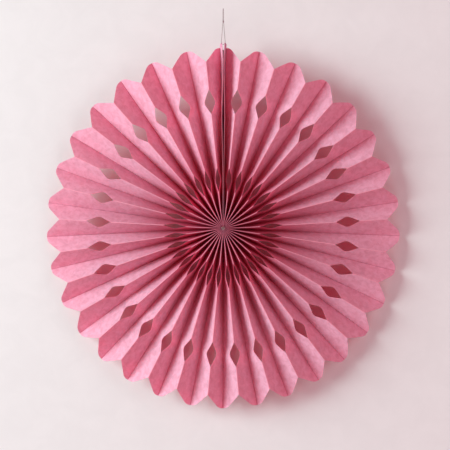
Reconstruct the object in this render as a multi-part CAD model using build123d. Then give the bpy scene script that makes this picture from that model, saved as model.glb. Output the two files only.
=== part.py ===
from build123d import *
import math
import os

# Hanging paper fan rosette: a pleated strip of paper opened to a full turn, its two ends joined at the top.
# Lengths are in millimetres and angles in degrees. The front faces -Y and +Z is up.
# The shapes are drawn about the hub, then moved so that the origin is where a pin holds the thread's eye.

# Folded strip. Each rounded tip is cut in short straight runs, TIP_CHORDS on each side of its fold
PLEATS = 32
PLEAT_WIDTH = 25.0
PAPER = 0.15
HUB_RADIUS = 2.0
TIP_RADIUS = 198.9
NOTCH_RADIUS = 182.9
TIP_ROUNDING = 10.0
TIP_CHORDS = 3
RAW_RADIUS = 206.0

# How it hangs: the pleats open more at the top than at the bottom, and the sides lean back
SAG = 2.7
LEAN = 6.0

# Diamonds cut across the mountain folds: distance from the hub, length, width, rounding of the side corners
# and the number of straight cuts that make up each rounding
OUTER_DIAMOND = (138.5, 26.6, 12.5, 7.0, 3)
INNER_DIAMOND = (53.0, 24.8, 5.7, 14.0, 2)

# End cards, standing on edge at the seam, each bent so that the two lie flat together at the front
CARD = 0.4
CARD_START = 16.0
CARD_END = 203.6
CARD_BEND = 6.0
CARD_CORNER = 2.0

# Seam near the hub, where the end panels push the other folds apart by some degrees
HUB_GAP = 0.02
CROWDING = 2.6
CROWDING_END = 60.0

# Double-sided tape between the cards
TAPE_START = 164.0
TAPE_END = 185.5
TAPE_WIDTH = 4.5
TAPE_GAP = 0.25

# Paper strip pasted over the back of the seam, up to the seam's paper tip
SEAM_STRIP_END = 197.0

# Hanging thread. It lies in the top of each card's hole, HOLE_LIFT above the middle
THREAD = 0.5
THREAD_SIDES = 6
HOLE = 1.5
HOLE_RADIUS = 201.3
HOLE_DEPTH = -1.0
HOLE_LIFT = 0.45
LEG_OUT = 2.25
HOLE_BEND = 0.8
KNOT_BEND = 2.5
EYE_RADIUS = 0.5
EYE_AT = 242.5
EYE_BACK = 10.0
KNOT_AT = 228.0
KNOT_HEIGHT = 1.9
KNOT_RADIUS = 0.85
STRAND_OUT = 0.3

# Thread ring that ties the inner ends of the pleats
TIE_RADIUS = 4.6
TIE_THREAD = 0.6
TIE_HOLE = 0.9
TIE_SIDES = 5

FOLDS = 2 * PLEATS
HALF_TURN = 180.0
STEP = HALF_TURN / PLEATS
STATIONS = (HUB_RADIUS, 5.5, CARD_START, CROWDING_END, 122.0, 163.0, 186.0, RAW_RADIUS)

# Half of the slot between the cards at their front and back edges, by distance from the hub
FRONT_SLOT = ((CARD_START, 0.1), (CROWDING_END, 0.15), (122.0, 1.25), (163.0, TAPE_GAP), (186.0, TAPE_GAP),
              (RAW_RADIUS, 1.2))
BACK_SLOT = ((CARD_START, 0.1), (CROWDING_END, 0.15), (122.0, 1.7), (163.0, 2.0), (186.0, 2.6),
             (RAW_RADIUS, 3.4))


def between(table, s):
    """Straight-line reading of a table of pairs."""
    for (s0, g0), (s1, g1) in zip(table, table[1:]):
        if s <= s1:
            return g0 + (g1 - g0) * max(0.0, s - s0) / (s1 - s0)
    return table[-1][1]


def chord(s):
    """Distance from one fold to the next, seen from the front, at distance s from the hub."""
    return 2 * s * math.sin(math.radians(STEP) / 2)


def depth(s):
    """Front-to-back distance between a mountain and a valley fold."""
    return math.sqrt(PLEAT_WIDTH**2 - chord(s) ** 2)


def lean_at(azimuth):
    """Angle by which a fold leans back, in radians: most at the sides, none at the top and bottom."""
    return math.radians(LEAN) * math.cos(math.radians(azimuth)) ** 2


def crowding(s):
    """Degrees by which the seam pushes the folds beside it apart."""
    t = min(1.0, max(0.0, (s - CARD_START) / (CROWDING_END - CARD_START)))
    return CROWDING * (1 - t)


def azimuth_of(index, s=RAW_RADIUS):
    """Azimuth of a fold, numbered clockwise from the seam at 0. Odd folds are mountains."""
    push = crowding(s)
    if index <= PLEATS:
        turn = push + (HALF_TURN - push) * index / PLEATS
    else:
        turn = 2 * HALF_TURN - push - (HALF_TURN - push) * (FOLDS - index) / PLEATS
    azimuth = HALF_TURN / 2 - turn
    return azimuth - SAG * math.cos(math.radians(azimuth))


def at(azimuth, s, sideways=0.0, back=0.0):
    """Point at distance s along a fold, moved clockwise by sideways and back from the fan's own middle."""
    angle = math.radians(azimuth)
    lean = lean_at(azimuth)
    reach = s * math.cos(lean)
    x = reach * math.cos(angle) + sideways * math.sin(angle)
    z = reach * math.sin(angle) - sideways * math.cos(angle)
    return Vector(x, s * math.sin(lean) + back, z)


def crease_width(s):
    """Width of a fold's flattened outer edge."""
    return PAPER * PLEAT_WIDTH / depth(s)


def crease_depth(s):
    """Depth from a fold's outer edge to its inner corner."""
    return PAPER * PLEAT_WIDTH / (2 * chord(s))


def fold_rails(index):
    """The four rails of a fold: front side in and out, then back side in and out.

    A rail is a list of points, one for each station. The two rails on the inner side of a fold are one.
    """
    mountain = index % 2 == 1
    side = -1 if mountain else 1
    outer = [
        [at(azimuth_of(index, s), s, half * crease_width(s), side * depth(s) / 2) for s in STATIONS]
        for half in (-0.5, 0.5)
    ]
    inner = [at(azimuth_of(index, s), s, 0, side * (depth(s) / 2 - crease_depth(s))) for s in STATIONS]
    return (*outer, inner, inner) if mountain else (inner, inner, *outer)


def glued_side(slot, s):
    """Distance of an end panel's glued side from the seam's middle plane. It closes up towards the hub."""
    share = min(1.0, (s - HUB_RADIUS) / (CARD_START - HUB_RADIUS))
    return HUB_GAP + (between(slot, s) + CARD - HUB_GAP) * share


def seam_corner(s):
    """Inner corner of the back fold beside the seam, where an end panel meets the first spread panel."""
    front = glued_side(FRONT_SLOT, s)
    back = glued_side(BACK_SLOT, s)
    mountain = at(azimuth_of(1, s), s, -crease_width(s) / 2)
    end_slope = (back - front) / (depth(s) - CARD_BEND)
    spread_slope = (mountain.X - back) / depth(s)
    reach = PAPER / (spread_slope + end_slope)
    return back + PAPER - end_slope * reach, depth(s) / 2 - reach


def seam_rail(sign, place, offset):
    """Rail beside the seam, at an end panel's front edge, its bend or its back fold."""
    points = []
    for s in STATIONS:
        front, back = glued_side(FRONT_SLOT, s), glued_side(BACK_SLOT, s)
        x, y = {
            "front": (front + offset, -depth(s) / 2),
            "bend": (front + offset, -depth(s) / 2 + CARD_BEND),
            "back": (back + offset, depth(s) / 2),
        }[place]
        points.append(Vector(sign * x, y, s))
    return points


def end_rails(sign):
    """Rails of one end panel, from its front edge to the back fold beside the seam."""
    edge = [[seam_rail(sign, place, offset) for offset in (PAPER, 0)] for place in ("front", "bend")]
    corner = [Vector(sign * x, y, s) for s, (x, y) in ((s, seam_corner(s)) for s in STATIONS)]
    glued = seam_rail(sign, "back", 0)
    crease = [p + Vector(sign * crease_width(s), 0, 0) for p, s in zip(glued, STATIONS)]
    fold = (corner, corner, glued, crease) if sign > 0 else (corner, corner, crease, glued)
    return [(a, a, b, b) for a, b in edge] + [fold]


def facet(*corners):
    return Face(Wire.make_polygon(corners))


def ribbon(one, two):
    """Flat facets between two rails."""
    faces = []
    for a, b, c, d in zip(one, two, two[1:], one[1:]):
        faces += [facet(a, b, c), facet(a, c, d)]
    return faces


def sheet_solid(folds):
    """One closed sheet through the rails of its folds in order, its first and last being free edges."""
    faces = []
    for one, two in zip(folds, folds[1:]):
        faces += ribbon(one[1], two[0]) + ribbon(one[3], two[2])
        for end in (0, -1):
            a, b, c, d = one[1][end], two[0][end], two[2][end], one[3][end]
            faces += [facet(a, b, c), facet(a, c, d)]
    for fold in folds:
        for crease_in, crease_out, corner in ((fold[0], fold[1], fold[2]), (fold[2], fold[3], fold[0])):
            if crease_in is not crease_out:
                faces += ribbon(crease_in, crease_out)
                faces += [facet(crease_in[end], crease_out[end], corner[end]) for end in (0, -1)]
    for edge in (folds[0], folds[-1]):
        faces += ribbon(edge[0], edge[2])
    return Solid(Shell(faces))


def through(outline):
    """A prism of a front-view outline, long enough to pass through the whole fan."""
    return extrude(outline, amount=2 * PLEAT_WIDTH, both=True)


def flat(point):
    """The front-view place of a point, on the plane that faces the front."""
    return Vector(point.X, point.Z)


def rounding(centre, radius, start, end, chords):
    """Corners of a run of equal straight cuts in place of an arc, from one angle to another."""
    angles = [math.radians(start + (end - start) * k / chords) for k in range(chords + 1)]
    return [centre + Vector(math.cos(a), math.sin(a)) * radius for a in angles]


def scallops():
    """Front-view outline of the rim: a rounded tip at each valley fold, straight flanks to the notches."""
    corners = []
    for tip in range(0, FOLDS, 2):
        azimuth = azimuth_of(tip)
        centre = flat(at(azimuth, TIP_RADIUS - TIP_ROUNDING))
        for side in (-1, 1):
            notch = flat(at(azimuth_of(tip + side), NOTCH_RADIUS))
            away = notch - centre
            turn = math.degrees(math.atan2(away.Y, away.X)) - azimuth
            turn = abs((turn + HALF_TURN) % (2 * HALF_TURN) - HALF_TURN)
            flank = azimuth - side * (turn - math.degrees(math.acos(TIP_ROUNDING / away.length)))
            arc = rounding(centre, TIP_ROUNDING, azimuth, flank, TIP_CHORDS)
            corners += [notch, *arc[:0:-1]] if side < 0 else arc
    return Plane.XZ * Polygon(*corners, align=None)


def diamond(index, size):
    """Front-view outline of one cut-out, across the mountain fold of that number."""
    distance, length, width, radius, chords = size
    slope = math.degrees(math.atan2(width, length))
    middle = Vector(0, width / 2 - radius / math.cos(math.radians(slope)))
    side = rounding(middle, radius, 90 - slope, 90 + slope, chords)
    outline = Polygon((length / 2, 0), *side, (-length / 2, 0), *[-corner for corner in side], align=None)
    middle = flat(at(azimuth_of(index), distance))
    return Plane.XZ * Pos(middle) * Rot(Z=azimuth_of(index)) * outline


def ring(line, radius):
    """A ring of flat facets along a closed line of corners round the fan's axis, mitred at each corner."""
    normal = Vector(0, 1, 0)
    ahead = [(b - a).normalized() for a, b in zip(line, line[1:] + line[:1])]
    rails = []
    for k in range(TIE_SIDES):
        angle = 2 * math.pi * (k + 0.5) / TIE_SIDES
        rail = []
        for corner, before, after in zip(line, ahead[-1:] + ahead[:-1], ahead):
            out = before.cross(normal) + after.cross(normal)
            out = out * (2 / out.dot(out))
            rail.append(corner + out * (radius * math.cos(angle)) + normal * (radius * math.sin(angle)))
        rails.append(rail + rail[:1])
    faces = []
    for one, two in zip(rails, rails[1:] + rails[:1]):
        faces += ribbon(one, two)
    return Solid(Shell(faces))


def tie_line():
    """The tie's line round the hub, its corners at the folds, so that it crosses each panel straight."""
    corners = [at(azimuth_of(index, TIE_RADIUS), TIE_RADIUS) for index in range(1, FOLDS)]
    return [Vector(corner.X, 0, corner.Z) for corner in corners]


def pleated_paper():
    folds = end_rails(1) + [fold_rails(index) for index in range(1, FOLDS)] + end_rails(-1)[::-1]
    sheet = sheet_solid(folds)
    rim = through(Plane.XZ * Circle(RAW_RADIUS + PLEAT_WIDTH) - scallops())
    cuts = []
    for index in range(1, FOLDS, 2):
        cuts += [through(diamond(index, size)) for size in (OUTER_DIAMOND, INNER_DIAMOND)]
    tie_holes = ring(tie_line(), TIE_HOLE / 2)
    return sheet.cut(rim.solid(), *[cut.solid() for cut in cuts], tie_holes)


def end_card(sign):
    """One stiff card, glued along an end panel, with a hole near its tip for the thread."""
    start = STATIONS.index(CARD_START)
    rails = [
        [seam_rail(sign, place, offset)[start:] for offset in (0, -CARD)]
        for place in ("front", "bend", "back")[::sign]
    ]
    strip = sheet_solid([(a, a, b, b) for a, b in rails])
    window = Rectangle(depth(CARD_END), 2 * CARD_END)
    window = fillet(window.vertices(), CARD_CORNER)
    card = strip & extrude(Plane.YZ * window, amount=PLEAT_WIDTH, both=True)
    hole = Plane.YZ * Pos(HOLE_DEPTH, HOLE_RADIUS) * Circle(HOLE / 2)
    return card - extrude(hole, amount=PLEAT_WIDTH, both=True)


def closure_tape():
    front = -depth(TAPE_END) / 2
    middle = (TAPE_START + TAPE_END) / 2
    tape = Box(2 * TAPE_GAP, TAPE_WIDTH, TAPE_END - TAPE_START, align=(Align.CENTER, Align.MIN, Align.CENTER))
    return Pos(0, front, middle) * tape


def seam_strip():
    """Paper strip across the two back folds beside the seam, which closes the slot between the cards."""
    start = STATIONS.index(CARD_START)
    rails = []
    for side in (-1, 1):
        edge = [Vector(side * (glued_side(BACK_SLOT, s) + crease_width(s)), depth(s) / 2, s) for s in STATIONS]
        rails.append((edge[start:], [corner + Vector(0, PAPER, 0) for corner in edge[start:]]))
    strip = sheet_solid([(a, a, b, b) for a, b in rails])
    return strip & Pos(0, 0, SEAM_STRIP_END / 2) * Box(PLEAT_WIDTH, 2 * PLEAT_WIDTH, SEAM_STRIP_END)


def centre_tie():
    return ring(tie_line()[::2], TIE_THREAD / 2)


def thread_point(sideways, height):
    """A place on the thread's own plane, which leans back from the holes to the pin."""
    rise = (EYE_BACK - HOLE_DEPTH) / (EYE_AT - HOLE_RADIUS)
    return Vector(sideways, HOLE_DEPTH + rise * (height - HOLE_RADIUS), height)


def thread_route():
    """Corners of the thread's line: from the knot down, through both cards, up and round the eye."""
    inside = KNOT_HEIGHT / 4
    eye = EYE_AT + EYE_RADIUS
    return [
        thread_point(STRAND_OUT, KNOT_AT - inside),
        thread_point(LEG_OUT, HOLE_RADIUS + HOLE_LIFT),
        thread_point(-LEG_OUT, HOLE_RADIUS + HOLE_LIFT),
        thread_point(-STRAND_OUT, KNOT_AT),
        thread_point(-EYE_RADIUS, eye),
        thread_point(EYE_RADIUS, eye),
        thread_point(STRAND_OUT, KNOT_AT + inside),
    ]


def hanging_thread():
    """Tube of straight runs and tangent arcs: round the cards' edges, out of the knot and round the pin."""
    radii = [HOLE_BEND, HOLE_BEND, KNOT_BEND, 0.99 * EYE_RADIUS, 0.99 * EYE_RADIUS]
    path = FilletPolyline(*thread_route(), radius=radii)
    print("thread length", round(path.length, 1), "radii", radii)
    turn = 2 * math.pi / THREAD_SIDES
    corner = THREAD / 2 * math.sqrt(turn / math.sin(turn))
    section = Plane(origin=path @ 0, z_dir=path % 0) * RegularPolygon(corner, THREAD_SIDES)
    tube = sweep(section, path=path)
    print("thread volume", round(tube.volume, 2), "section by length", round(section.area * path.length, 2))
    return tube


def thread_knot(thread):
    middle = thread_point(0, KNOT_AT)
    along = thread_point(0, KNOT_AT + 1) - middle
    outline = Plane(origin=middle, z_dir=along) * RegularPolygon(KNOT_RADIUS, 8)
    barrel = extrude(outline, amount=KNOT_HEIGHT / 2, both=True)
    ends = barrel.faces().sort_by(Axis.Z)
    rims = [*ends[0].edges(), *ends[-1].edges()]
    return chamfer(rims, KNOT_RADIUS * 0.35) - thread


def build():
    thread = hanging_thread()
    return {
        "pleated_paper": pleated_paper(),
        "end_card_right": end_card(1),
        "end_card_left": end_card(-1),
        "closure_tape": closure_tape(),
        "seam_strip": seam_strip(),
        "centre_tie": centre_tie(),
        "hanging_thread": thread,
        "thread_knot": thread_knot(thread),
    }


if __name__ == "__main__":
    os.makedirs("parts", exist_ok=True)
    to_pin = Pos(0, -EYE_BACK, -EYE_AT)
    for name, shape in build().items():
        export_step(to_pin * shape, f"parts/{name}.step")
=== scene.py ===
import math

import bpy
import numpy as np
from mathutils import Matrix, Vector


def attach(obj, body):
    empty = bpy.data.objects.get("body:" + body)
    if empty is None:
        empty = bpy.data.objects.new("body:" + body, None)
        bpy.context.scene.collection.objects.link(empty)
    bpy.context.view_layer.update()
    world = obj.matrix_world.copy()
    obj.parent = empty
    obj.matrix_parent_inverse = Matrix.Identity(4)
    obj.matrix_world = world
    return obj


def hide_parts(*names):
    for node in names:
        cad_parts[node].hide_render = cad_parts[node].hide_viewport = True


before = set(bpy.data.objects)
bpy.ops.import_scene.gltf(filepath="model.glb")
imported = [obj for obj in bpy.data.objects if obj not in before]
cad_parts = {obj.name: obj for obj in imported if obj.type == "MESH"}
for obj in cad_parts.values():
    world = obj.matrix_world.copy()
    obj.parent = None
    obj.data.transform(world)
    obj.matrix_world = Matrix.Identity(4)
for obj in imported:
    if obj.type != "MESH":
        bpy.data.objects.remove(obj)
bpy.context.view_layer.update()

bl_info = {
    "name": "Paper Fan Rosette",
    "version": (1, 0, 0),
    "blender": (4, 5, 0),
    "location": "View3D > Sidebar > Paper Fan",
    "description": "Dresses a hanging pleated paper fan and sets its wall, camera and lamps",
    "category": "Add Mesh",
}

# Places in the row frame, in metres. The origin is the pin in the thread's eye.
HUB = Vector((0.0, -0.010, -0.2425))
HALF_TURN = 180.0


class FanPaper(bpy.types.PropertyGroup):
    """Sizes and colours of the folded sheet."""

    pleats: bpy.props.IntProperty(name="Pleats", description="Mountain folds in a full turn", default=32)
    pleat_width: bpy.props.FloatProperty(
        name="Pleat Width", description="Paper between one fold and the next", default=0.025, unit="LENGTH"
    )
    thickness: bpy.props.FloatProperty(
        name="Thickness", description="Thickness of the paper", default=0.00015, unit="LENGTH", precision=5
    )
    hub_radius: bpy.props.FloatProperty(
        name="Hub Radius", description="Distance from the middle to the inner ends", default=0.002,
        unit="LENGTH",
    )
    notch_radius: bpy.props.FloatProperty(
        name="Notch Radius", description="Reach of a mountain fold", default=0.1829, unit="LENGTH"
    )
    tip_radius: bpy.props.FloatProperty(
        name="Tip Radius", description="Reach of a valley fold", default=0.19889, unit="LENGTH"
    )
    tip_rounding: bpy.props.FloatProperty(
        name="Tip Rounding", description="Radius of a rounded tip", default=0.01, unit="LENGTH"
    )
    outer_cut: bpy.props.FloatVectorProperty(
        name="Outer Cut-Out", description="Distance from the middle, length, width and rounding",
        size=4, default=(0.1385, 0.0266, 0.0125, 0.007), precision=4,
    )
    inner_cut: bpy.props.FloatVectorProperty(
        name="Inner Cut-Out", description="Distance from the middle, length, width and rounding",
        size=4, default=(0.053, 0.0248, 0.0057, 0.014), precision=4,
    )
    tie_hole: bpy.props.FloatVectorProperty(
        name="Tie Hole", description="Distance from the middle and diameter", size=2,
        default=(0.0046, 0.0009), precision=4,
    )
    sag: bpy.props.FloatProperty(
        name="Sag", description="Degrees by which the side pleats sink", default=2.7, min=0.0, max=10.0
    )
    lean: bpy.props.FloatProperty(
        name="Lean", description="Degrees by which the sides lean back", default=6.0, min=0.0, max=20.0
    )
    bow: bpy.props.FloatProperty(
        name="Bow", description="How far a panel bows between its folds", default=0.0005, unit="LENGTH",
        precision=5,
    )
    blunt: bpy.props.FloatProperty(
        name="Blunt Folds", description="Half the width of a mountain fold", default=0.00022,
        unit="LENGTH", precision=5,
    )
    unevenness: bpy.props.FloatProperty(
        name="Unevenness", description="Degrees by which folds stray", default=0.22, min=0.0, max=2.0
    )
    colour: bpy.props.FloatVectorProperty(
        name="Colour", description="Main colour of the paper", subtype="COLOR", size=3,
        default=(0.99, 0.67, 0.875),
    )
    # Pale is the colour of the paper's pale fibres and of the painted highlight along the mountain folds.
    pale: bpy.props.FloatVectorProperty(
        name="Pale Colour", description="Colour of worn folds and cut edges", subtype="COLOR", size=3,
        default=(0.98, 0.66, 0.82),
    )
    # Painted shade: a darker, redder colour for the crowded pleats round the middle, where shade and light
    # bounced between the pleats fall; the sheet itself is one colour.
    middle_shade: bpy.props.FloatVectorProperty(
        name="Painted Middle Shade", description="Colour of the crowded pleats round the middle",
        subtype="COLOR", size=3, default=(0.84, 0.12, 0.27),
    )
    # Colour of the painted highlight along the mountain folds close to the middle, dimmer than the pale
    # one.
    highlit: bpy.props.FloatVectorProperty(
        name="Painted Ridge Highlight", description="Colour of the folds close to the middle",
        subtype="COLOR", size=3, default=(0.96, 0.38, 0.53),
    )
    glow: bpy.props.FloatVectorProperty(
        name="Glow", description="Colour of the light that comes through the paper",
        subtype="COLOR", size=3, default=(1.0, 0.16, 0.29),
    )


class FanCards(bpy.types.PropertyGroup):
    """Colours of the two end cards, the tape and strip that join them, and the centre tie."""

    colour: bpy.props.FloatVectorProperty(
        name="Card Colour", description="Face of the cards", subtype="COLOR", size=3,
        default=(0.62, 0.24, 0.36),
    )
    edge: bpy.props.FloatVectorProperty(
        name="Edge Colour", description="Cut edge of the cards", subtype="COLOR", size=3,
        default=(0.86, 0.58, 0.66),
    )
    tape: bpy.props.FloatVectorProperty(
        name="Tape Colour", description="Double-sided tape", subtype="COLOR", size=3,
        default=(0.42, 0.20, 0.25),
    )
    # Its dark red paints the shade in the slot between the cards, where the strip shows through.
    strip: bpy.props.FloatVectorProperty(
        name="Strip Colour", description="Paper strip over the back of the seam", subtype="COLOR", size=3,
        default=(0.34, 0.07, 0.14),
    )
    tie: bpy.props.FloatVectorProperty(
        name="Tie Colour", description="Thread round the hub", subtype="COLOR", size=3,
        default=(0.50, 0.13, 0.24),
    )


class FanThread(bpy.types.PropertyGroup):
    """Sizes and colours of the hanging thread and its knot."""

    diameter: bpy.props.FloatProperty(
        name="Diameter", description="Thickness of the thread", default=0.0005, unit="LENGTH",
        precision=5,
    )
    length: bpy.props.FloatProperty(
        name="Length", description="Whole length of the thread", default=0.0888, unit="LENGTH", precision=4
    )
    # The thread is white; this dark grey-mauve paints the shade on its doubled strands and also makes up
    # for how thin it is.
    colour: bpy.props.FloatVectorProperty(
        name="Colour", description="Thread", subtype="COLOR", size=3, default=(0.25, 0.16, 0.17)
    )


class FanStage(bpy.types.PropertyGroup):
    """Camera, wall and lamps."""

    frame_width: bpy.props.FloatProperty(
        name="Frame Width", description="Width of the picture at the fan", default=0.49725, unit="LENGTH"
    )
    camera_distance: bpy.props.FloatProperty(
        name="Camera Distance", description="From the camera to the fan", default=1.4, unit="LENGTH"
    )
    wall_gap: bpy.props.FloatProperty(
        name="Wall Gap", description="From the middle of the hub to the wall", default=0.034, unit="LENGTH"
    )
    wall_tilt: bpy.props.FloatProperty(
        name="Wall Tilt", description="Degrees by which the fan hangs off upright", default=2.6,
        min=-5.0, max=5.0,
    )
    wall_colour: bpy.props.FloatVectorProperty(
        name="Wall Colour", description="Paint on the wall", subtype="COLOR", size=3,
        default=(0.755, 0.765, 0.755),
    )
    room_light: bpy.props.FloatVectorProperty(
        name="Room Light", description="Soft light from all round", subtype="COLOR", size=3,
        default=(0.34, 0.155, 0.18),
    )


def settings():
    return bpy.context.scene.paper_fan


def activate(obj):
    """Only this object is selected, and it is the active one."""
    bpy.ops.object.select_all(action="DESELECT")
    obj.select_set(True)
    bpy.context.view_layer.objects.active = obj


def place(obj):
    """Puts the object's place in its mesh, so that the object itself sits at the origin."""
    activate(obj)
    bpy.ops.object.transform_apply(location=True, rotation=True, scale=True)


def apply_modifier(obj, kind, **values):
    """Adds one modifier, sets it and applies it."""
    activate(obj)
    bpy.ops.object.modifier_add(type=kind)
    modifier = obj.modifiers[-1]
    for name, value in values.items():
        setattr(modifier, name, value)
    bpy.ops.object.modifier_apply(modifier=modifier.name)


# Shape of the opened fan

def chord(s):
    """From one fold to the next, seen from the front."""
    return 2 * s * math.sin(math.radians(HALF_TURN / settings().paper.pleats) / 2)


def depth(s):
    """From a mountain fold to a valley fold, front to back."""
    return np.sqrt(settings().paper.pleat_width ** 2 - chord(s) ** 2)


# Near the middle the folds are pushed away from the seam, by these degrees and up to this radius
CROWDING = 2.6
CROWDING_END = 0.06

# The cards: where they start, how thick they are and where they bend, and half the seam's gap at the hub
CARD_START = 0.016
CARD = 0.0004
CARD_BEND = 0.006
HUB_GAP = 0.00002

# Front and back folds stay this far inside the solids
FOLD_INSET = 0.00012

# Smallest allowance at a cut end or between two folds
SPARE = 0.0001

# Size of a panel's small waves, as a share of its bow
WAVE = 0.25

# Half the slot between the cards, at the front and at the back, as pairs of radius and half width
FRONT_SLOT = ((0.016, 0.0001), (0.06, 0.00015), (0.122, 0.00125), (0.163, 0.00025), (0.186, 0.00025),
              (0.206, 0.0012))
BACK_SLOT = ((0.016, 0.0001), (0.06, 0.00015), (0.122, 0.0017), (0.163, 0.002), (0.186, 0.0026),
             (0.206, 0.0034))


def azimuth(index, s):
    """Azimuth in degrees of a fold, numbered clockwise from the seam."""
    paper = settings().paper
    push = CROWDING * np.clip((CROWDING_END - s) / (CROWDING_END - CARD_START), 0, 1)
    if index <= paper.pleats:
        turn = push + (HALF_TURN - push) * index / paper.pleats
    else:
        turn = 2 * HALF_TURN - push - (HALF_TURN - push) * (2 * paper.pleats - index) / paper.pleats
    straight = HALF_TURN / 2 - turn
    return straight - paper.sag * np.cos(np.radians(straight))


def glued_side(slot, s):
    """From the seam's middle plane to the outer face of a card, or to the paper glued there."""
    share = np.clip((s - settings().paper.hub_radius) / (CARD_START - settings().paper.hub_radius), 0, 1)
    gap = np.interp(s, [at for at, _ in slot], [half for _, half in slot])
    return HUB_GAP + (gap + CARD - HUB_GAP) * share


def fold_line(index, s, stray):
    """Points of one fold at distances s from the middle. Those at the seam run along the cards' backs."""
    paper = settings().paper
    if index in (0, 2 * paper.pleats):
        side = 1 if index == 0 else -1
        points = np.stack([side * glued_side(BACK_SLOT, s), depth(s) / 2, s], 1)
        return points + np.array(HUB)
    angle = azimuth(index, s) + stray[index] * s / paper.tip_radius
    lean = math.radians(paper.lean) * np.cos(np.radians(angle)) ** 2
    front = -1 if index % 2 else 1
    reach = s * np.cos(lean)
    points = [
        reach * np.cos(np.radians(angle)),
        s * np.sin(lean) + front * (depth(s) / 2 - FOLD_INSET),
        reach * np.sin(np.radians(angle)),
    ]
    return np.stack(points, 1) + np.array(HUB)


def spread_panel(index, s, w, stray, shape):
    """Places of points s along and w across a spread panel, w counted from its mountain fold."""
    paper = settings().paper
    mountain, valley = (index + 1, index) if index % 2 == 0 else (index, index + 1)
    share = (w / paper.pleat_width)[:, None]
    ridge, trough = fold_line(mountain, s, stray), fold_line(valley, s, stray)
    step = 0.001
    along = fold_line(mountain, s + step, stray) * (1 - share) + fold_line(valley, s + step, stray) * share
    flat = ridge * (1 - share) + trough * share
    normal = np.cross(along - flat, trough - ridge)
    normal /= np.linalg.norm(normal, axis=1)[:, None]
    normal *= np.where(normal[:, 1:2] > 0, -1, 1)
    belly = np.sin(math.pi * share[:, 0])
    reach = s / paper.tip_radius
    lift = shape[0] * paper.bow * reach * belly
    room = np.clip(chord(s) / 2 - SPARE, 0, paper.blunt)
    lift += room * (1 - share[:, 0]) * np.clip(w / paper.blunt, 0, 1)
    for k, (size, rate, turn) in enumerate(shape[1]):
        wave = np.sin(rate * reach * math.pi + turn + 2 * share[:, 0] * k)
        lift += size * WAVE * paper.bow * belly * wave
    return flat + normal * lift[:, None]


def end_panel(side, s, w):
    """Places of points on the panel glued to an end card, w counted from its front edge."""
    paper = settings().paper
    y = -depth(s) / 2 + w / paper.pleat_width * depth(s)
    bend = -depth(s) / 2 + CARD_BEND
    front, back = glued_side(FRONT_SLOT, s), glued_side(BACK_SLOT, s)
    share = np.clip((y - bend) / (depth(s) / 2 - bend), 0, 1)
    x = front + (back - front) * share + paper.thickness / 2 * (1 - share)
    return np.stack([side * x, y, s], 1) + np.array(HUB)


def stretch(distance):
    """How much wider a cut is on the flat paper than it looks from the front once the fan is open."""
    return settings().paper.pleat_width / float(chord(distance))


# How finely a flat panel is divided, the corners of a rounded cut, and what counts as the same point
GRID_ALONG = 56
GRID_ACROSS = 8
ROUNDING_SEGMENTS = 6
SAME_PLACE = 0.000001
WELD = 0.00001
CUTTER_DEPTH = 0.01


def flat_blank(name, reach):
    """One flat panel: X along the folds from the middle, Y from the mountain fold to the valley fold."""
    paper = settings().paper
    bpy.ops.object.select_all(action="DESELECT")
    bpy.ops.mesh.primitive_grid_add(x_subdivisions=GRID_ALONG, y_subdivisions=GRID_ACROSS, size=1)
    blank = bpy.context.object
    blank.name = name
    length = reach - paper.hub_radius
    blank.scale = (length, paper.pleat_width, 1)
    blank.location = (paper.hub_radius + length / 2, paper.pleat_width / 2, 0)
    place(blank)
    bpy.ops.object.mode_set(mode="EDIT")
    bpy.ops.mesh.select_all(action="SELECT")
    bpy.ops.mesh.bisect(plane_co=(0, paper.blunt, 0), plane_no=(0, 1, 0), threshold=SAME_PLACE)
    bpy.ops.object.mode_set(mode="OBJECT")
    return blank


def cut_out(blank, distance, length, width, rounding):
    """Cuts half a diamond out of the mountain edge, its side corner rounded."""
    bpy.ops.object.select_all(action="DESELECT")
    bpy.ops.mesh.primitive_cylinder_add(vertices=4, radius=1, depth=CUTTER_DEPTH)
    cutter = bpy.context.object
    cutter.scale = (length / 2, width / 2, 1)
    place(cutter)
    slope = math.atan2(width, length)
    bpy.ops.object.mode_set(mode="EDIT")
    bpy.ops.mesh.select_all(action="DESELECT")
    bpy.ops.object.mode_set(mode="OBJECT")
    for edge in cutter.data.edges:
        a, b = (cutter.data.vertices[v].co for v in edge.vertices)
        edge.select = abs(a.z - b.z) > CUTTER_DEPTH / 2 and abs(a.x) < SAME_PLACE
    bpy.ops.object.mode_set(mode="EDIT")
    bpy.ops.mesh.select_mode(type="EDGE")
    bpy.ops.mesh.bevel(offset=rounding * math.tan(slope), offset_type="OFFSET", segments=ROUNDING_SEGMENTS,
                       profile=0.5, affect="EDGES")
    bpy.ops.object.mode_set(mode="OBJECT")
    cutter.scale = (1, stretch(distance), 1)
    cutter.location = (distance, 0, 0)
    place(cutter)
    apply_modifier(blank, "BOOLEAN", object=cutter, operation="DIFFERENCE", solver="EXACT")
    bpy.data.objects.remove(cutter)


def punch(blank, distance, diameter):
    """Punches the small round hole for the centre tie, halfway between the folds."""
    bpy.ops.object.select_all(action="DESELECT")
    middle = (distance, settings().paper.pleat_width / 2, 0)
    bpy.ops.mesh.primitive_cylinder_add(
        vertices=12, radius=diameter / 2, depth=CUTTER_DEPTH, location=middle
    )
    cutter = bpy.context.object
    place(cutter)
    apply_modifier(blank, "BOOLEAN", object=cutter, operation="DIFFERENCE", solver="EXACT")
    bpy.data.objects.remove(cutter)


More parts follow.
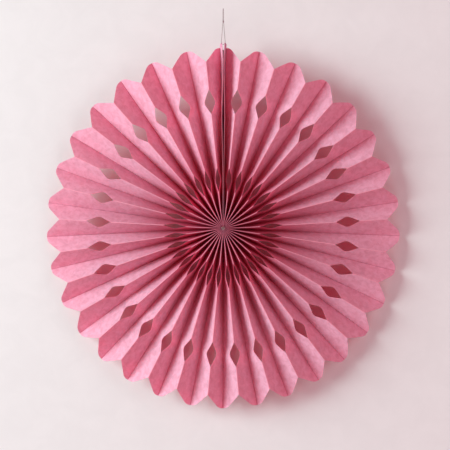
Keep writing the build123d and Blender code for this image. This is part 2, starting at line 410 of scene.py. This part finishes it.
def trim_tip(blank):
    """Trims the outer end along the scallop: a straight flank from the notch, then a rounded tip."""
    paper = settings().paper
    half_step = math.radians(HALF_TURN / paper.pleats)
    centre = paper.tip_radius - paper.tip_rounding
    notch = (paper.notch_radius * math.cos(half_step) - centre, paper.notch_radius * math.sin(half_step))
    turn = math.atan2(notch[1], notch[0]) - math.acos(paper.tip_rounding / math.hypot(*notch))
    arc = [turn * (1 - k / ROUNDING_SEGMENTS) for k in range(ROUNDING_SEGMENTS + 1)]
    front = [(centre + paper.tip_rounding * math.cos(a), paper.tip_rounding * math.sin(a)) for a in arc]
    front.insert(0, (centre + notch[0], notch[1]))
    flat = []
    for x, y in front:
        ridge = y / math.sin(half_step)
        trough = x - ridge * math.cos(half_step)
        flat.append((ridge + trough, paper.pleat_width * trough / (ridge + trough)))
    for (x0, y0), (x1, y1) in zip(flat, flat[1:]):
        activate(blank)
        bpy.ops.object.mode_set(mode="EDIT")
        bpy.ops.mesh.select_all(action="SELECT")
        outward = Vector((y1 - y0, x0 - x1, 0)).normalized()
        bpy.ops.mesh.bisect(plane_co=(x0, y0, 0), plane_no=outward, clear_outer=True, threshold=SAME_PLACE)
        bpy.ops.object.mode_set(mode="OBJECT")


def folded_copy(blank, number, places, strip):
    """A copy of the blank with its own mesh, moved to its folded place, with its flat place kept as UVs."""
    mesh = blank.data.copy()
    uv = mesh.uv_layers.new(name="strip")
    flat = np.zeros(len(mesh.vertices) * 3)
    mesh.vertices.foreach_get("co", flat)
    flat = flat.reshape(-1, 3)
    corners = np.zeros(len(mesh.loops), int)
    mesh.loops.foreach_get("vertex_index", corners)
    uv.data.foreach_set("uv", np.stack([flat[corners, 0], strip(flat[corners, 1])], 1).ravel())
    mesh.vertices.foreach_set("co", places(flat[:, 0], flat[:, 1]).ravel())
    mesh.update()
    copy = bpy.data.objects.new(f"{blank.name}_{number}", mesh)
    bpy.context.collection.objects.link(copy)
    normals = np.zeros(len(mesh.polygons) * 3)
    mesh.polygons.foreach_get("normal", normals)
    return copy, normals.reshape(-1, 3)


def fold_sheet(blank, end_blank):
    """Copies the blanks round the fan, folds them into place and joins them along their folds."""
    paper = settings().paper
    folds = 2 * paper.pleats
    wander = np.random.default_rng(11)
    stray = wander.normal(0, paper.unevenness, folds + 1)
    stray[[0, 1, folds - 1, folds]] = 0
    pieces = []
    width = paper.pleat_width
    for index in range(folds):
        waves = [(wander.normal(), wander.uniform(2, 7), wander.uniform(0, 6.3)) for _ in range(3)]
        shape = (wander.normal(0.5, 0.8), waves)
        if index % 2 == 0:
            strip = lambda w, i=index: (i + 1) * width - w
        else:
            strip = lambda w, i=index: i * width + w
        places = lambda s, w, i=index, f=shape: spread_panel(i, s, w, stray, f)
        piece, normals = folded_copy(blank, index, places, strip)
        if normals[:, 1].mean() > 0:
            piece.data.flip_normals()
        pieces.append(piece)
    for side in (1, -1):
        strip = (lambda w: w - width) if side > 0 else (lambda w: (folds + 1) * width - w)
        piece, normals = folded_copy(end_blank, side, lambda s, w, e=side: end_panel(e, s, w), strip)
        if normals[:, 0].mean() * side > 0:
            piece.data.flip_normals()
        pieces.append(piece)
    bpy.ops.object.select_all(action="DESELECT")
    for piece in pieces:
        piece.select_set(True)
    bpy.context.view_layer.objects.active = pieces[0]
    bpy.ops.object.join()
    sheet = bpy.context.object
    bpy.ops.object.mode_set(mode="EDIT")
    bpy.ops.mesh.select_all(action="SELECT")
    bpy.ops.mesh.remove_doubles(threshold=WELD)
    bpy.ops.mesh.quads_convert_to_tris(quad_method="BEAUTY", ngon_method="BEAUTY")
    bpy.ops.object.mode_set(mode="OBJECT")
    return sheet


# Edges under this many degrees are shaded smooth
SMOOTH_UNDER = 35


class FAN_OT_folded_sheet(bpy.types.Operator):
    """Cuts a flat panel, folds its copies round the fan and gives the sheet its thickness"""

    bl_idname = "paper_fan.folded_sheet"
    bl_label = "Folded Sheet"
    bl_options = {"REGISTER", "UNDO"}

    def execute(self, context):
        paper = settings().paper
        blank = flat_blank("fan_panel", paper.tip_radius + SPARE)
        for cut in (paper.outer_cut, paper.inner_cut):
            cut_out(blank, *cut)
        punch(blank, *paper.tie_hole)
        trim_tip(blank)
        end_blank = flat_blank("fan_end_panel", paper.tip_radius)
        punch(end_blank, *paper.tie_hole)
        sheet = fold_sheet(blank, end_blank)
        bpy.data.objects.remove(blank)
        bpy.data.objects.remove(end_blank)
        sheet.name = "folded_sheet"
        apply_modifier(sheet, "SOLIDIFY", thickness=paper.thickness, offset=0.0)
        activate(sheet)
        bpy.ops.object.shade_smooth_by_angle(angle=math.radians(SMOOTH_UNDER))
        sheet.data.materials.clear()
        sheet.data.materials.append(rose_paper())
        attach(sheet, "root")
        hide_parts("pleated_paper")
        return {"FINISHED"}


# Materials

def group(name, inputs, outputs):
    """An empty shader node group with named sockets, and its input and output nodes."""
    tree = bpy.data.node_groups.new(name, "ShaderNodeTree")
    for label, kind, value in inputs:
        socket = tree.interface.new_socket(label, in_out="INPUT", socket_type=kind)
        if value is not None:
            socket.default_value = value
    for label, kind in outputs:
        tree.interface.new_socket(label, in_out="OUTPUT", socket_type=kind)
    return tree, tree.nodes.new("NodeGroupInput"), tree.nodes.new("NodeGroupOutput")


def node(tree, kind, values=None, **links):
    """Adds a node, sets its values, and links its named inputs."""
    made = tree.nodes.new(kind)
    for name, value in (values or {}).items():
        if name in made.inputs:
            made.inputs[name].default_value = value
        else:
            setattr(made, name, value)
    for name, source in links.items():
        tree.links.new(source, made.inputs[name])
    return made


def maths(tree, operation, *terms):
    """One math node. Its terms are sockets or numbers."""
    made = tree.nodes.new("ShaderNodeMath")
    made.operation = operation
    for slot, term in enumerate(terms):
        if isinstance(term, (int, float)):
            made.inputs[slot].default_value = term
        else:
            tree.links.new(term, made.inputs[slot])
    return made.outputs[0]


def blend(tree, share, a, b, mode="MIX"):
    """One colour mix node. Its colours are sockets or fixed colours."""
    made = tree.nodes.new("ShaderNodeMix")
    made.data_type = "RGBA"
    made.blend_type = mode
    for name, term in ((0, share), (6, a), (7, b)):
        if isinstance(term, bpy.types.NodeSocket):
            tree.links.new(term, made.inputs[name])
        elif name == 0:
            made.inputs[0].default_value = term
        else:
            made.inputs[name].default_value = (*term, 1)
    return made.outputs[2]


def ramp(tree, source, low, high):
    """A soft step from 0 at low to 1 at high."""
    made = tree.nodes.new("ShaderNodeMapRange")
    made.interpolation_type = "SMOOTHSTEP"
    made.inputs["From Min"].default_value = low
    made.inputs["From Max"].default_value = high
    tree.links.new(source, made.inputs["Value"])
    return made.outputs[0]


def paper_fibre():
    """Cloudy mottling, fine fibre and their height, for paper and card. The vector is in metres."""
    name = "Paper Fibre"
    if name in bpy.data.node_groups:
        return bpy.data.node_groups[name]
    tree, start, end = group(
        name,
        [("Vector", "NodeSocketVector", None), ("Cloud Size", "NodeSocketFloat", 0.006),
         ("Fibre Size", "NodeSocketFloat", 0.0012)],
        [("Cloud", "NodeSocketFloat"), ("Fibre", "NodeSocketFloat"), ("Height", "NodeSocketFloat")],
    )
    vector = start.outputs["Vector"]
    cloud_scale = maths(tree, "DIVIDE", 1.0, start.outputs["Cloud Size"])
    fibre_scale = maths(tree, "DIVIDE", 1.0, start.outputs["Fibre Size"])
    cloud = node(tree, "ShaderNodeTexNoise", {"Detail": 5.0, "Roughness": 0.62, "Distortion": 0.6},
                 Vector=vector, Scale=cloud_scale)
    strands = []
    for scale, turn in (((0.35, 1.0, 1.0), 0.5), ((1.0, 0.35, 1.0), -0.4)):
        stretched = node(tree, "ShaderNodeMapping", {"Scale": scale, "Rotation": (0, 0, turn)},
                         Vector=vector)
        strand = node(tree, "ShaderNodeTexNoise", {"Detail": 4.0, "Roughness": 0.7, "Distortion": 1.2},
                      Vector=stretched.outputs[0], Scale=fibre_scale)
        strands.append(strand.outputs[0])
    both = maths(tree, "MULTIPLY", maths(tree, "ADD", *strands), 0.5)
    height = maths(tree, "ADD", maths(tree, "MULTIPLY", cloud.outputs[0], 0.5), both)
    tree.links.new(ramp(tree, cloud.outputs[0], 0.3, 0.7), end.inputs["Cloud"])
    tree.links.new(ramp(tree, both, 0.38, 0.62), end.inputs["Fibre"])
    tree.links.new(height, end.inputs["Height"])
    return tree


def fold_marks():
    """Masks along the mountain and valley folds, from a place across the flat strip in metres."""
    name = "Fold Marks"
    if name in bpy.data.node_groups:
        return bpy.data.node_groups[name]
    tree, start, end = group(
        name,
        [("Across", "NodeSocketFloat", 0.0), ("Pleat Width", "NodeSocketFloat", 0.025),
         ("Line Width", "NodeSocketFloat", 0.0005)],
        [("Mountain", "NodeSocketFloat"), ("Valley", "NodeSocketFloat")],
    )
    pair = maths(tree, "MULTIPLY", start.outputs["Pleat Width"], 2.0)
    place_in_pair = maths(tree, "FLOORED_MODULO", start.outputs["Across"], pair)
    past_mountain = maths(tree, "SUBTRACT", place_in_pair, start.outputs["Pleat Width"])
    from_mountain = maths(tree, "ABSOLUTE", past_mountain)
    from_valley = maths(tree, "SUBTRACT", start.outputs["Pleat Width"], from_mountain)
    for distance, label in ((from_mountain, "Mountain"), (from_valley, "Valley")):
        share = maths(tree, "DIVIDE", distance, start.outputs["Line Width"])
        tree.links.new(up_to(tree, share, 0.2, 1.0), end.inputs[label])
    return tree


def material(name):
    """A new node material with its Principled shader."""
    made = bpy.data.materials.new(name)
    made.use_nodes = True
    return made, made.node_tree, made.node_tree.nodes["Principled BSDF"]


def fibre_of(tree, vector, cloud_size, fibre_size):
    made = tree.nodes.new("ShaderNodeGroup")
    made.node_tree = paper_fibre()
    made.inputs["Cloud Size"].default_value = cloud_size
    made.inputs["Fibre Size"].default_value = fibre_size
    tree.links.new(vector, made.inputs["Vector"])
    return made


def relief(tree, shader, fibre, strength, distance):
    """Raises the fibre a little above the surface."""
    bump = node(tree, "ShaderNodeBump", {"Strength": strength, "Distance": distance},
                Height=fibre.outputs["Height"])
    tree.links.new(bump.outputs[0], shader.inputs["Normal"])
    return bump


def up_to(tree, source, near, far):
    """A mask that is 1 up to near and fades to 0 at far."""
    return maths(tree, "SUBTRACT", 1.0, ramp(tree, source, near, far))


def shade(colour, factor):
    return tuple(min(1.0, c * factor) for c in colour)


def rose_paper():
    """Mottled rose paper with a painted highlight along the mountain folds, and painted shade in the valley
    creases and in the crowded pleats towards the middle.
    """
    paper = settings().paper
    made, tree, shader = material("rose paper")
    uv = node(tree, "ShaderNodeUVMap", {"uv_map": "strip"}).outputs[0]
    split = node(tree, "ShaderNodeSeparateXYZ", Vector=uv)
    fibre = fibre_of(tree, uv, 0.0055, 0.0015)
    marks = tree.nodes.new("ShaderNodeGroup")
    marks.node_tree = fold_marks()
    marks.inputs["Pleat Width"].default_value = paper.pleat_width
    marks.inputs["Line Width"].default_value = 0.0008
    tree.links.new(split.outputs["Y"], marks.inputs["Across"])
    colour = blend(tree, fibre.outputs["Cloud"], shade(paper.colour, 0.75), shade(paper.colour, 1.16))
    colour = blend(tree, maths(tree, "MULTIPLY", fibre.outputs["Fibre"], 0.4), colour, paper.pale)
    # Painted shade: the mask that darkens the paper, and the light through it, towards the middle.
    inside = up_to(tree, split.outputs["X"], 0.015, 0.12)
    # Mask for where the painted highlight on the mountain folds dims, close to the middle.
    middle = up_to(tree, split.outputs["X"], 0.006, 0.03)
    colour = blend(tree, inside, colour, paper.middle_shade)
    # Painted shade: the valley folds are darkened where shade gathers in the creases.
    painted_crease_shade = maths(tree, "MULTIPLY", marks.outputs["Valley"], 0.6)
    colour = blend(tree, painted_crease_shade, colour, shade(paper.colour, 0.5))
    # Painted highlight: a pale line along each mountain fold, where the ridge catches the light, dimmer
    # near the middle.
    highlit = maths(tree, "MULTIPLY", marks.outputs["Mountain"], 0.85)
    colour = blend(tree, highlit, colour, blend(tree, middle, paper.pale, paper.highlit))
    tree.links.new(colour, shader.inputs["Base Color"])
    rough = maths(tree, "ADD", maths(tree, "MULTIPLY", fibre.outputs["Fibre"], 0.12), 0.56)
    tree.links.new(rough, shader.inputs["Roughness"])
    shader.inputs["Specular IOR Level"].default_value = 0.2
    bump = relief(tree, shader, fibre, 0.5, 0.0004)
    # The light through the paper is darker towards the middle too, as painted shade.
    let_through(tree, shader, blend(tree, inside, paper.glow, shade(paper.glow, 0.85)), bump)
    return made


def let_through(tree, shader, colour, bump):
    """Mixes light that comes through the paper with light that its surface sends back, half and half."""
    through = node(tree, "ShaderNodeBsdfTranslucent", Color=colour, Normal=bump.outputs[0])
    mixed = tree.nodes.new("ShaderNodeMixShader")
    mixed.inputs[0].default_value = 0.5
    tree.links.new(shader.outputs[0], mixed.inputs[1])
    tree.links.new(through.outputs[0], mixed.inputs[2])
    tree.links.new(mixed.outputs[0], tree.nodes["Material Output"].inputs["Surface"])


def card_board():
    """Rose card for the two end cards, paler on its cut edges."""
    cards = settings().cards
    made, tree, shader = material("rose card")
    where = node(tree, "ShaderNodeTexCoord").outputs["Object"]
    fibre = fibre_of(tree, where, 0.004, 0.0011)
    facing = node(tree, "ShaderNodeNewGeometry").outputs["True Normal"]
    side = maths(tree, "ABSOLUTE", node(tree, "ShaderNodeSeparateXYZ", Vector=facing).outputs["X"])
    face = ramp(tree, side, 0.5, 0.8)
    colour = blend(tree, fibre.outputs["Cloud"], shade(cards.colour, 0.94), shade(cards.colour, 1.06))
    colour = blend(tree, face, cards.edge, colour)
    tree.links.new(colour, shader.inputs["Base Color"])
    rough = maths(tree, "ADD", maths(tree, "MULTIPLY", fibre.outputs["Fibre"], 0.1), 0.7)
    tree.links.new(rough, shader.inputs["Roughness"])
    shader.inputs["Specular IOR Level"].default_value = 0.25
    relief(tree, shader, fibre, 0.4, 0.0003)
    return made


def plain_fibre(name, colour, cloud_size, fibre_size):
    """Paper, tape or spun fibre of one colour, slightly cloudy."""
    made, tree, shader = material(name)
    where = node(tree, "ShaderNodeTexCoord").outputs["Object"]
    fibre = fibre_of(tree, where, cloud_size, fibre_size)
    mixed = blend(tree, fibre.outputs["Cloud"], shade(colour, 0.9), shade(colour, 1.08))
    tree.links.new(mixed, shader.inputs["Base Color"])
    rough = maths(tree, "ADD", maths(tree, "MULTIPLY", fibre.outputs["Fibre"], 0.15), 0.65)
    tree.links.new(rough, shader.inputs["Roughness"])
    relief(tree, shader, fibre, 0.4, 0.0001)
    return made


def dress(node_name, finish):
    """Gives a CAD node its finish."""
    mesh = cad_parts[node_name].data
    mesh.materials.clear()
    mesh.materials.append(finish)


class FAN_OT_cards(bpy.types.Operator):
    """Finishes the two end cards, the tape between them and the centre tie"""

    bl_idname = "paper_fan.cards"
    bl_label = "Cards, Tape and Tie"
    bl_options = {"REGISTER", "UNDO"}

    def execute(self, context):
        cards = settings().cards
        card = card_board()
        dress("end_card_left", card)
        dress("end_card_right", card)
        dress("closure_tape", plain_fibre("closure tape", cards.tape, 0.002, 0.0006))
        dress("centre_tie", plain_fibre("centre tie thread", cards.tie, 0.001, 0.0002))
        # The strip's dark colour is painted shade for the slot between the cards.
        dress("seam_strip", plain_fibre("seam strip paper", cards.strip, 0.006, 0.0015))
        return {"FINISHED"}


# Thread

# Heights above the hub: the cards' holes, where the thread rests in them, the knot and the eye's top
HOLE_AT = 0.2013
REST_AT = 0.20175
KNOT_AT = 0.228
EYE_TOP = 0.243

# How far back the thread's plane is at the holes, and how it leans from there to the pin
HOLE_DEPTH = -0.001
THREAD_SLOPE = 0.011 / 0.0412

# Distances sideways: a strand in the knot, a strand at the eye, a leg at the cards, and above them
STRAND_OUT = 0.0003
EYE_OUT = 0.0005
LEG_OUT = 0.00225
LEG_IN = 0.0021
LEG_BEND = 0.003
KNOT_HALF = 0.000475


def thread_point(sideways, height):
    """A place on the thread's plane, which leans back from the holes to the pin. Height is from the hub."""
    return (sideways, HOLE_DEPTH + THREAD_SLOPE * (height - HOLE_AT) + HUB.y, height + HUB.z)


class FAN_OT_thread(bpy.types.Operator):
    """Hangs the fan on its thread, from the two cards through the knot and round the pin"""

    bl_idname = "paper_fan.thread"
    bl_label = "Hanging Thread"
    bl_options = {"REGISTER", "UNDO"}

    def execute(self, context):
        thread = settings().thread
        corners = [
            (STRAND_OUT, KNOT_AT - KNOT_HALF), (LEG_IN, REST_AT + LEG_BEND), (LEG_OUT, REST_AT),
            (-LEG_OUT, REST_AT), (-LEG_IN, REST_AT + LEG_BEND), (-STRAND_OUT, KNOT_AT),
            (-EYE_OUT, EYE_TOP), (EYE_OUT, EYE_TOP), (STRAND_OUT, KNOT_AT + KNOT_HALF),
        ]
        line = bpy.data.curves.new("hanging_thread_line", "CURVE")
        line.dimensions = "3D"
        line.resolution_u = 12
        line.bevel_depth = thread.diameter / 2
        line.bevel_resolution = 3
        line.use_fill_caps = True
        spline = line.splines.new("NURBS")
        spline.points.add(len(corners) - 1)
        for point, corner in zip(spline.points, corners):
            point.co = (*thread_point(*corner), 1)
        spline.order_u = 3
        spline.use_endpoint_u = True
        piece = bpy.data.objects.new("white_thread", line)
        context.collection.objects.link(piece)
        # Dark grey-mauve on the white thread: painted shade, which also makes up for its thinness.
        line.materials.append(plain_fibre("white thread", thread.colour, 0.002, 0.0003))
        dress("thread_knot", bpy.data.materials["white thread"])
        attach(piece, "root")
        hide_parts("hanging_thread")
        return {"FINISHED"}


# Where the camera aims from the hub, its sensor's width in millimetres, and the wall's size in metres
AIM = Vector((0.0019, 0.008, 0.0035))
SENSOR = 36
WALL_SIZE = 6

LAMPS = (
    # name, direction to the lamp (right, front, up), distance, size, power, colour
    ("window", (-0.87, 0.45, 0.17), 2.4, 1.4, 84.0, (0.82, 1.0, 0.985)),
    ("room", (0.74, 0.64, 0.2), 1.7, 1.2, 8.0, (1.0, 0.74, 0.79)),
    ("floor", (0.0, 0.82, -0.57), 1.7, 1.0, 4.0, (1.0, 0.82, 0.86)),
)


class FAN_OT_stage(bpy.types.Operator):
    """Sets the camera, the wall behind the fan and the lamps"""

    bl_idname = "paper_fan.stage"
    bl_label = "Camera, Wall and Lamps"
    bl_options = {"REGISTER", "UNDO"}

    def execute(self, context):
        stage = settings().stage
        place_of_camera = HUB + AIM - Vector((0, stage.camera_distance, 0))
        bpy.ops.object.camera_add(location=place_of_camera, rotation=(math.pi / 2, 0, 0))
        camera = context.object
        camera.data.sensor_width = SENSOR
        camera.data.lens = SENSOR * stage.camera_distance / stage.frame_width
        context.scene.camera = camera
        context.scene.view_settings.view_transform = "Standard"
        bpy.ops.mesh.primitive_plane_add(size=WALL_SIZE)
        wall = context.object
        wall.name = "wall"
        wall.rotation_euler = (math.pi / 2 - math.radians(stage.wall_tilt), 0, 0)
        wall.location = HUB + Vector((0, stage.wall_gap, 0))
        place(wall)
        wall.data.materials.append(wall_paint())
        for name, direction, distance, size, power, colour in LAMPS:
            x, front, up = direction
            toward = Vector((x, -front, up)).normalized()
            turn = toward.to_track_quat("Z", "Y").to_euler()
            bpy.ops.object.light_add(type="AREA", location=HUB + toward * distance, rotation=turn)
            lamp = context.object
            lamp.name = name
            lamp.data.size = size
            lamp.data.energy = power
            lamp.data.color = colour
        world = bpy.data.worlds.new("room")
        context.scene.world = world
        world.use_nodes = True
        tree = world.node_tree
        seen = node(tree, "ShaderNodeLightPath").outputs["Is Camera Ray"]
        colour = blend(tree, seen, stage.room_light, stage.wall_colour)
        tree.links.new(colour, tree.nodes["Background"].inputs["Color"])
        return {"FINISHED"}


def wall_paint():
    """Pale painted wall. From behind it is clear, so that the fan's back can be seen."""
    stage = settings().stage
    made, tree, shader = material("wall paint")
    where = node(tree, "ShaderNodeTexCoord").outputs["Object"]
    fibre = fibre_of(tree, where, 0.03, 0.004)
    dark, light = shade(stage.wall_colour, 0.985), shade(stage.wall_colour, 1.015)
    colour = blend(tree, fibre.outputs["Cloud"], dark, light)
    tree.links.new(colour, shader.inputs["Base Color"])
    shader.inputs["Roughness"].default_value = 0.9
    shader.inputs["Specular IOR Level"].default_value = 0.2
    clear = tree.nodes.new("ShaderNodeBsdfTransparent")
    mixed = tree.nodes.new("ShaderNodeMixShader")
    tree.links.new(node(tree, "ShaderNodeNewGeometry").outputs["Backfacing"], mixed.inputs[0])
    tree.links.new(shader.outputs[0], mixed.inputs[1])
    tree.links.new(clear.outputs[0], mixed.inputs[2])
    tree.links.new(mixed.outputs[0], tree.nodes["Material Output"].inputs["Surface"])
    return made


class PaperFan(bpy.types.PropertyGroup):
    """All settings of the fan."""

    paper: bpy.props.PointerProperty(type=FanPaper)
    cards: bpy.props.PointerProperty(type=FanCards)
    thread: bpy.props.PointerProperty(type=FanThread)
    stage: bpy.props.PointerProperty(type=FanStage)


class FAN_PT_sidebar(bpy.types.Panel):
    """Lists the fan's pieces and settings"""

    bl_idname = "FAN_PT_sidebar"
    bl_label = "Paper Fan"
    bl_space_type = "VIEW_3D"
    bl_region_type = "UI"
    bl_category = "Paper Fan"

    def draw(self, context):
        for part in ("paper", "cards", "thread", "stage"):
            values = getattr(settings(), part)
            box = self.layout.box()
            for name in values.__annotations__:
                box.prop(values, name)
        for operator in OPERATORS:
            self.layout.operator(operator.bl_idname)


OPERATORS = (FAN_OT_stage, FAN_OT_thread, FAN_OT_folded_sheet, FAN_OT_cards)
CLASSES = (FanPaper, FanCards, FanThread, FanStage, PaperFan, *OPERATORS, FAN_PT_sidebar)


def register():
    for made in CLASSES:
        bpy.utils.register_class(made)
    bpy.types.Scene.paper_fan = bpy.props.PointerProperty(type=PaperFan)


def unregister():
    del bpy.types.Scene.paper_fan
    for made in reversed(CLASSES):
        bpy.utils.unregister_class(made)


def main():
    register()
    bpy.ops.paper_fan.stage()
    bpy.ops.paper_fan.thread()
    bpy.ops.paper_fan.folded_sheet()
    bpy.ops.paper_fan.cards()


if __name__ == "__main__":
    main()
